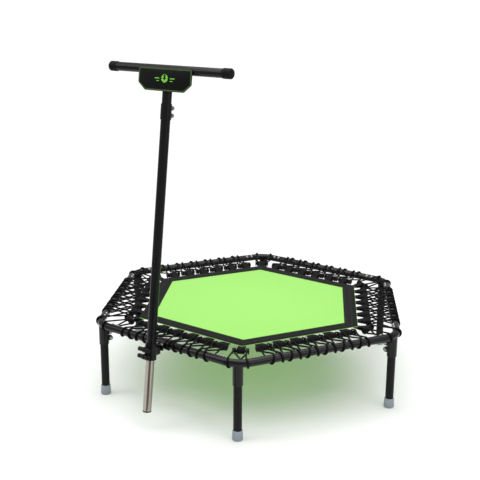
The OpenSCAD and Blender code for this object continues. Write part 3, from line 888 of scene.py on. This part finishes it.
def foot_mesh():
    """A rubber foot: rounded sole, two grip grooves and a soft top lip round the leg."""
    r, h, leg = node_size("foot_1").x / 2, node_size("foot_1").z, LEG_R + SNUG
    depth = 8 * MM
    outline = [(0, 0), (r - 4 * MM, 0), (r - 1.6 * MM, 0.7 * MM), (r - 0.4 * MM, 2.4 * MM),
               (r, 5 * MM), (r, 8.6 * MM), (r - 0.9 * MM, 9.4 * MM), (r - 0.9 * MM, 10.4 * MM),
               (r, 11.2 * MM), (r - 0.2 * MM, 14 * MM), (r - 1.1 * MM, 14.8 * MM),
               (r - 1.1 * MM, 15.8 * MM), (r - 0.3 * MM, 16.6 * MM), (r - 1.2 * MM, h - 3 * MM),
               (r - 2 * MM, h - 0.8 * MM), (r - 3.2 * MM, h), (leg, h), (leg, depth), (0, depth)]
    return turned("foot", outline, steps=48)


def dome_mesh(radius, height, socket_r, depth):
    """A domed screw head along +Z with a hexagonal socket."""
    rise = [(radius * math.cos(math.radians(a)), height * math.sin(math.radians(a)))
            for a in (0, 14, 28, 42, 56, 68)]
    outline = [(radius, -0.6 * MM)] + rise + [(socket_r, height), (socket_r * 0.94, height - depth),
                                              (0, height - depth)]
    mesh = turned("dome", outline, steps=36)
    for vert in mesh.vertices:
        flat = math.hypot(vert.co.x, vert.co.y)
        if 0.1 * MM < flat < socket_r * 1.01:
            turn = (math.atan2(vert.co.y, vert.co.x) + math.radians(30)) % math.radians(60)
            stretch = math.cos(math.radians(30)) / math.cos(turn - math.radians(30))
            vert.co.x *= stretch
            vert.co.y *= stretch
    return mesh


def cap_mesh():
    """A bar's end cap along +Z from its closed end: rounded rim, ribbed skirt and a soft lip."""
    r, bore, wall = CAP_R, CAP_BORE_R, 3 * MM
    plain_end, groove_pitch, groove = 7 * MM, 5 * MM, 0.8 * MM
    outline = [(0, 0), (r - 5 * MM, 0), (r - 2 * MM, 0.8 * MM), (r - 0.5 * MM, 2.6 * MM),
               (r, 5 * MM)]
    z = plain_end
    while z < CAP_LENGTH - plain_end:
        outline += [(r, z), (r - groove, z + 0.8 * MM), (r - groove, z + 1.8 * MM),
                    (r, z + 2.6 * MM)]
        z += groove_pitch
    outline += [(r, CAP_LENGTH - 3 * MM), (r - 1.2 * MM, CAP_LENGTH - 0.6 * MM),
                (bore + 0.15 * MM, CAP_LENGTH), (bore, CAP_LENGTH - 1 * MM), (bore, wall),
                (0, wall)]
    return turned("cap", outline, steps=48)


def joint_screw_places():
    """Places of the frame's screws: +Z out of the tube, half inwards and half up."""
    out = Matrix.Rotation(math.radians(-45), 4, "Y")
    out @= Matrix.Translation((0, 0, TUBE_R))
    first, pitch = 12 * MM, 24 * MM
    for k in SIDES:
        for side in (-1, 1):
            for i in (0, 1):
                u = side * (SIDE_LENGTH / 2 - first - i * pitch)
                yield at_side(k, SIDE_APOTHEM, u, TUBE_Z) @ out


class OBJECT_OT_trampoline_feet(bpy.types.Operator):
    """Make the six rubber feet."""
    bl_idname = "object.trampoline_feet"
    bl_label = "Feet"

    def execute(self, context):
        for k in SIDES:
            mesh = stamped("foot", foot_mesh(), [at_corner(k, LEG_AXIS_R)])
            piece(f"rubber_foot_{k}", mesh, ["foot_rubber"], "root", [f"foot_{k}"])
        return {"FINISHED"}


class OBJECT_OT_trampoline_screws(bpy.types.Operator):
    """Make the domed screw heads of the frame joints."""
    bl_idname = "object.trampoline_screws"
    bl_label = "Frame screws"

    def execute(self, context):
        head = dome_mesh(radius=7.2 * MM, height=4.6 * MM, socket_r=2.7 * MM, depth=2.4 * MM)
        mesh = stamped("joint_heads", head, joint_screw_places())
        piece("joint_screw_heads", mesh, ["zinc_steel"], "root", ["joint_screws"])
        return {"FINISHED"}


# ---- hand bar ---------------------------------------------------------------

def plate_outline(inset=0.0):
    """Corners of the sign plate in its own plane, top edge at zero, inset all round."""
    half_w = node_size("sign_plate").x / 2 - inset
    slope = inset * math.tan(math.radians(22))
    shoulder = -SIGN_STRAIGHT + slope / 2
    foot_x = half_w + inset - SIGN_CUT - slope
    return [(-half_w, -inset), (half_w, -inset), (half_w, shoulder),
            (foot_x, -SIGN_H + inset), (-foot_x, -SIGN_H + inset), (-half_w, shoulder)]


def flat_bar(bm, start, end, width, y):
    """A thin raised line from start to end in the plate's plane."""
    a, b = Vector(start), Vector(end)
    across = Vector((-(b - a).y, (b - a).x)).normalized() * width / 2
    corners = [a + across, a - across, b - across, b + across]
    face = bm.faces.new([bm.verts.new((c.x, y, c.y)) for c in corners])
    thicken(bm, [face], (0, -0.35 * MM, 0))


def plate_mesh():
    """The sign's board, with rounded corners."""
    bm = bmesh.new()
    face = bm.faces.new([bm.verts.new((x, -SIGN_BACK, z)) for x, z in plate_outline()])
    thicken(bm, [face], (0, -SIGN_T, 0))
    corners = [e for e in bm.edges
               if abs(e.verts[0].co.y - e.verts[1].co.y) > SIGN_T / 2]
    bmesh.ops.bevel(bm, geom=corners, offset=4 * MM, segments=4, profile=0.5, affect="EDGES",
                    material=-1)
    eased(bm, 0.4 * MM, 2, 60)
    return mesh_of(bm, "plate")


def line_mesh(front):
    """The raised line along the board's edge."""
    bm = bmesh.new()
    for a, b in closed_pairs(plate_outline(3.6 * MM)):
        flat_bar(bm, a, b, 5 * MM, front)
    return mesh_of(bm, "lines")


def mark_mesh(front):
    """The plain mark on the board: a hexagon with two dashes on each side of it."""
    bm = bmesh.new()
    centre = Vector((0, -36 * MM))
    for a, b in closed_pairs([centre + v.to_2d() for v in hexagon(11 * MM, 0)]):
        flat_bar(bm, a, b, 9 * MM, front)
    for side in (-1, 1):
        for drop, near, far, width in ((0, 24, 44, 3.5), (-9, 24, 36, 2.5)):
            z = centre.y + drop * MM
            flat_bar(bm, (side * near * MM, z), (side * far * MM, z), width * MM, front)
    return mesh_of(bm, "mark")


def sign_meshes():
    """The board, its edge line and its mark, in place under the bar."""
    front = -SIGN_BACK - SIGN_T + 0.05 * MM
    place = POLE @ Matrix.Translation((0, 0, BAR_Z + SIGN_TOP))
    meshes = (plate_mesh(), line_mesh(front), mark_mesh(front))
    for mesh in meshes:
        mesh.transform(place)
    return meshes


class OBJECT_OT_trampoline_hand_bar(bpy.types.Operator):
    """Make the hand bar's end caps and sign plate."""
    bl_idname = "object.trampoline_hand_bar"
    bl_label = "Hand bar"

    def execute(self, context):
        half = (node_middle("end_cap_right").x - node_middle("end_cap_left").x + CAP_LENGTH) / 2
        for name, side in (("left", -1), ("right", 1)):
            place = (POLE @ Matrix.Translation((side * half, 0, BAR_Z))
                     @ Matrix.Rotation(math.radians(-side * 90), 4, "Y"))
            piece(f"grip_cap_{name}", stamped("cap", cap_mesh(), [place]), ["cap_rubber"],
                  "handle", [f"end_cap_{name}"])
        plate, lines, mark = sign_meshes()
        piece("sign_board", plate, ["sign_sheet"], "handle", ["sign_plate"])
        piece("sign_lines", lines, ["sign_line"], "handle")
        piece("sign_mark", mark, ["sign_mark"], "handle")
        return {"FINISHED"}


# ---- carried-over steel parts -----------------------------------------------

class OBJECT_OT_trampoline_finishes(bpy.types.Operator):
    """Give every carried-over part the finish of its record slot."""
    bl_idname = "object.trampoline_finishes"
    bl_label = "Finishes"

    def execute(self, context):
        for part in frame["record"]["subparts"]:
            node = frame["nodes"][part["node"]]
            node.data.materials.clear()
            node.data.materials.append(finish(part["material_slot"]))
        return {"FINISHED"}


# ---- stage ------------------------------------------------------------------

SKY_LIGHT = 0.52
SKY_SEEN = 1.05
FLOOR_R = 2.25
CAMERA_OUT = Vector((1.978, -2.890, 1.545))
CAMERA_LENS = 65.66


def area_light(name, place, target, size, power):
    light = bpy.data.lights.new(name, "AREA")
    light.size = size
    light.energy = power
    made = placed(name, light)
    made.location = place
    made.rotation_euler = (Vector(target) - Vector(place)).to_track_quat("-Z", "Y").to_euler()


def add_camera():
    """The view from the front right, a little above the mat."""
    yaw, pitch, roll = (math.radians(a) for a in (35.30, 15.60, 0.38))
    ahead = Vector((-math.sin(yaw) * math.cos(pitch), math.cos(yaw) * math.cos(pitch),
                    -math.sin(pitch)))
    right = Vector((math.cos(yaw), math.sin(yaw), 0))
    up = right.cross(ahead)
    tilted = math.cos(roll) * right + math.sin(roll) * up
    camera = bpy.data.cameras.new("camera")
    camera.lens = CAMERA_LENS
    made = placed("camera", camera)
    made.matrix_world = (Matrix.Translation(MIDDLE + CAMERA_OUT)
                         @ Matrix((tilted, tilted.cross(ahead), -ahead)).transposed().to_4x4())
    bpy.context.scene.camera = made


def stage_piece(name, bm, base, rough):
    """A plain object of the stage."""
    made = placed(name, mesh_of(bm, name))
    material, graph, shader = new_material(name)
    graph.feed(shader, {"Base Color": base, "Roughness": rough})
    made.data.materials.append(material)
    return made


def add_floor():
    bm = bmesh.new()
    bmesh.ops.create_circle(bm, cap_ends=True, segments=96, radius=FLOOR_R)
    floor = stage_piece("floor", bm, (0.86, 0.86, 0.86, 1), 0.7)
    floor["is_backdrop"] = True


def add_dark_card():
    """A dark card beside the pole that shows only in shiny surfaces, as a studio flag does."""
    width, height, away = 0.28, 0.5, 0.28
    towards_camera = Vector((CAMERA_OUT.x, CAMERA_OUT.y, 0)).normalized()
    middle = Vector((POLE_FOOT.x, POLE_FOOT.y, height / 2)) + towards_camera * away
    bm = bmesh.new()
    bmesh.ops.create_grid(bm, x_segments=1, y_segments=1, size=0.5)
    bmesh.ops.scale(bm, vec=(width, height, 1), verts=bm.verts)
    turn = towards_camera.to_track_quat("Z", "Y").to_matrix().to_4x4()
    bmesh.ops.transform(bm, matrix=Matrix.Translation(middle) @ turn, verts=bm.verts)
    card = stage_piece("dark_card", bm, (0.3, 0.28, 0.25, 1), 0.9)
    card.visible_camera = card.visible_diffuse = card.visible_shadow = False
    card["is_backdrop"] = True


class OBJECT_OT_trampoline_stage(bpy.types.Operator):
    """Make the camera, the pale floor and the soft studio light."""
    bl_idname = "object.trampoline_stage"
    bl_label = "Stage"

    def execute(self, context):
        add_camera()
        add_floor()
        add_dark_card()
        world = bpy.data.worlds.new("studio")
        world.use_nodes = True
        sky = Graph(world.node_tree)
        background = world.node_tree.nodes["Background"]
        background.inputs["Color"].default_value = (1, 1, 1, 1)
        seen = sky.add("ShaderNodeLightPath").outputs["Is Camera Ray"]
        strength = sky.spread(seen, SKY_LIGHT, SKY_SEEN)
        sky.tree.links.new(strength, background.inputs["Strength"])
        context.scene.world = world
        context.scene.view_settings.view_transform = "Standard"
        target = (0, 0, 0.4)
        area_light("overhead", (0, 0.2, 4.2), target, size=4.5, power=190)
        area_light("key", (-2.2, -2.6, 3.4), target, size=2.2, power=40)
        area_light("side", (3.4, -0.6, 2.2), target, size=2.0, power=25)
        return {"FINISHED"}


class VIEW3D_PT_trampoline(bpy.types.Panel):
    """The trampoline's sizes, colours and steps."""
    bl_label = "Mini trampoline"
    bl_idname = "VIEW3D_PT_trampoline"
    bl_space_type = "VIEW_3D"
    bl_region_type = "UI"
    bl_category = "Trampoline"

    def draw(self, context):
        for group in (context.scene.trampoline_sizes, context.scene.trampoline_colours):
            for name in group.bl_rna.properties.keys():
                if name not in ("rna_type", "name"):
                    self.layout.prop(group, name)
        for operator in OPERATORS:
            self.layout.operator(operator.bl_idname)


OPERATORS = (
    OBJECT_OT_trampoline_stage, OBJECT_OT_trampoline_finishes, OBJECT_OT_trampoline_clips,
    OBJECT_OT_trampoline_mat, OBJECT_OT_trampoline_loops, OBJECT_OT_trampoline_feet,
    OBJECT_OT_trampoline_screws, OBJECT_OT_trampoline_hand_bar,
)
CLASSES = (TrampolineSizes, TrampolineColours, *OPERATORS, VIEW3D_PT_trampoline)


def register():
    for one in CLASSES:
        bpy.utils.register_class(one)
    bpy.types.Scene.trampoline_sizes = PointerProperty(type=TrampolineSizes)
    bpy.types.Scene.trampoline_colours = PointerProperty(type=TrampolineColours)


def unregister():
    del bpy.types.Scene.trampoline_colours
    del bpy.types.Scene.trampoline_sizes
    for one in reversed(CLASSES):
        bpy.utils.unregister_class(one)


def main():
    register()
    for operator in OPERATORS:
        family, name = operator.bl_idname.split(".")
        getattr(getattr(bpy.ops, family), name)()
    boxes = {"cad": CAD_BOX, "visual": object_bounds()}
    {name: [list(corner) for corner in box] for name, box in boxes.items()}


if __name__ == "__main__":
    main()
